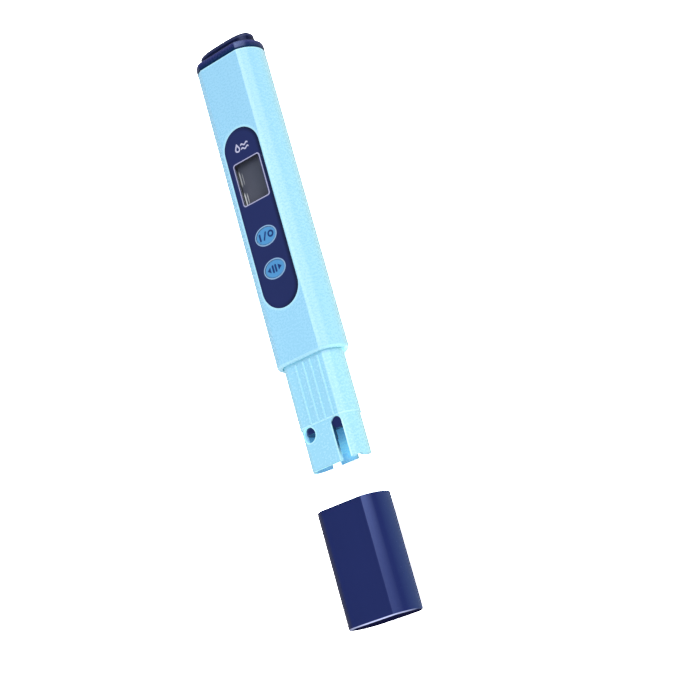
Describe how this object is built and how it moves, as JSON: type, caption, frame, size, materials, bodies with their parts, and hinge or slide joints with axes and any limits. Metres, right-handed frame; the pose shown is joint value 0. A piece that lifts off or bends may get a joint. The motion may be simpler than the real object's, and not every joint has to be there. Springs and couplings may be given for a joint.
{
  "type": "pen-type liquid tester",
  "caption": "Pen-type liquid tester with a faceted body, oval face label with display and two keys, slotted probe sleeve, pull-off probe cap and battery cap.",
  "frame": {"origin": "the middle of the flat back facet of the body, on the plane the pen rests on, 55.25 mm from the shoulder where the probe sleeve leaves the body", "axes": "+Y along the pen towards the battery cap, +Z out of the display face, +X to the right seen from above with the battery cap away from the viewer"},
  "size_m": [0.0264, 0.2059, 0.0159],
  "materials": {
    "shell_blue": "satin moulded ABS, light blue",
    "cap_navy": "glossy moulded ABS, navy",
    "label_navy": "printed polycarbonate overlay, navy",
    "key_blue": "soft-touch moulded key, mid blue",
    "window_clear": "clear acrylic",
    "lcd_glass": "polarised display glass",
    "lcd_silver": "satin reflector foil",
    "seal_rubber": "moulded silicone rubber",
    "zebra_rubber": "layered conductive elastomer",
    "board_green": "solder-masked glass epoxy board",
    "chip_black": "epoxy moulding",
    "part_ceramic": "fired ceramic chip body",
    "resistor_black": "thick-film resistor body",
    "steel": "bright zinc-plated steel",
    "cell_steel": "nickel-plated steel can",
    "contact_nickel": "nickel-plated spring steel",
    "titanium": "turned titanium rod",
    "chassis_white": "moulded ABS, natural white",
    "trimmer_blue": "moulded trimmer body",
    "brass": "turned brass",
    "switch_black": "moulded nylon",
    "wire_jacket": "pvc wire insulation",
    "epoxy_dark": "resin-dipped sensor bead"
  },
  "bodies": {
    "handset": {"body_shell": "shell_blue", "probe_sleeve": "shell_blue", "face_label": "label_navy", "display_window": "window_clear", "onoff_switch_base": "switch_black", "hold_switch_base": "switch_black", "lcd_glass_front": "lcd_glass", "lcd_glass_rear": "lcd_glass", "lcd_reflector": "lcd_silver", "zebra_strip": "zebra_rubber", "lcd_frame": "chassis_white", "circuit_board": "board_green", "controller_chip": "chip_black", "amplifier_chip": "chip_black", "clock_crystal": "steel", "calibration_trimmer_base": "trimmer_blue", "calibration_trimmer_rotor": "brass", "capacitors": "part_ceramic", "resistors": "resistor_black", "inner_chassis": "chassis_white", "board_screws": "steel", "battery_holder": "chassis_white", "battery_cell_left": "cell_steel", "battery_cell_right": "cell_steel", "battery_contact_negative": "contact_nickel", "battery_contact_positive": "contact_nickel", "electrode_block": "cap_navy", "electrode_seal": "seal_rubber", "electrode_pin_left": "titanium", "electrode_pin_right": "titanium", "temperature_probe": "epoxy_dark", "electrode_wires": "wire_jacket", "thermistor_wires": "wire_jacket", "battery_wires": "wire_jacket"},
    "probe_cap_body": {"probe_cap": "cap_navy"},
    "battery_cap_body": {"battery_cap": "cap_navy", "battery_cap_seal": "seal_rubber"},
    "onoff_key": {"onoff_button": "key_blue"},
    "hold_key": {"hold_button": "key_blue"},
    "onoff_plunger": {"onoff_switch_plunger": "chassis_white"},
    "hold_plunger": {"hold_switch_plunger": "chassis_white"}
  },
  "joints": [
    {"name": "cap_slide", "type": "slide", "parent": "handset", "child": "probe_cap_body", "axis": [0, 1, 0], "range_m": [-0.01, 0.04944]},
    {"name": "battery_cap_pull", "type": "slide", "parent": "handset", "child": "battery_cap_body", "axis": [0, 1, 0], "range_m": [0, 0.015]},
    {"name": "onoff_press", "type": "slide", "parent": "handset", "child": "onoff_key", "axis": [0, 0, -1], "range_m": [0, 0.0003], "stiffness_N_per_m": 40},
    {"name": "hold_press", "type": "slide", "parent": "handset", "child": "hold_key", "axis": [0, 0, -1], "range_m": [0, 0.0003], "stiffness_N_per_m": 40},
    {"name": "onoff_plunger_press", "type": "slide", "parent": "handset", "child": "onoff_plunger", "axis": [0, 0, -1], "range_m": [0, 0.0003]},
    {"name": "hold_plunger_press", "type": "slide", "parent": "handset", "child": "hold_plunger", "axis": [0, 0, -1], "range_m": [0, 0.0003]}
  ],
  "couplings": [
    {"joint": "onoff_plunger_press", "follows": "onoff_press", "ratio": 1},
    {"joint": "hold_plunger_press", "follows": "hold_press", "ratio": 1}
  ]
}
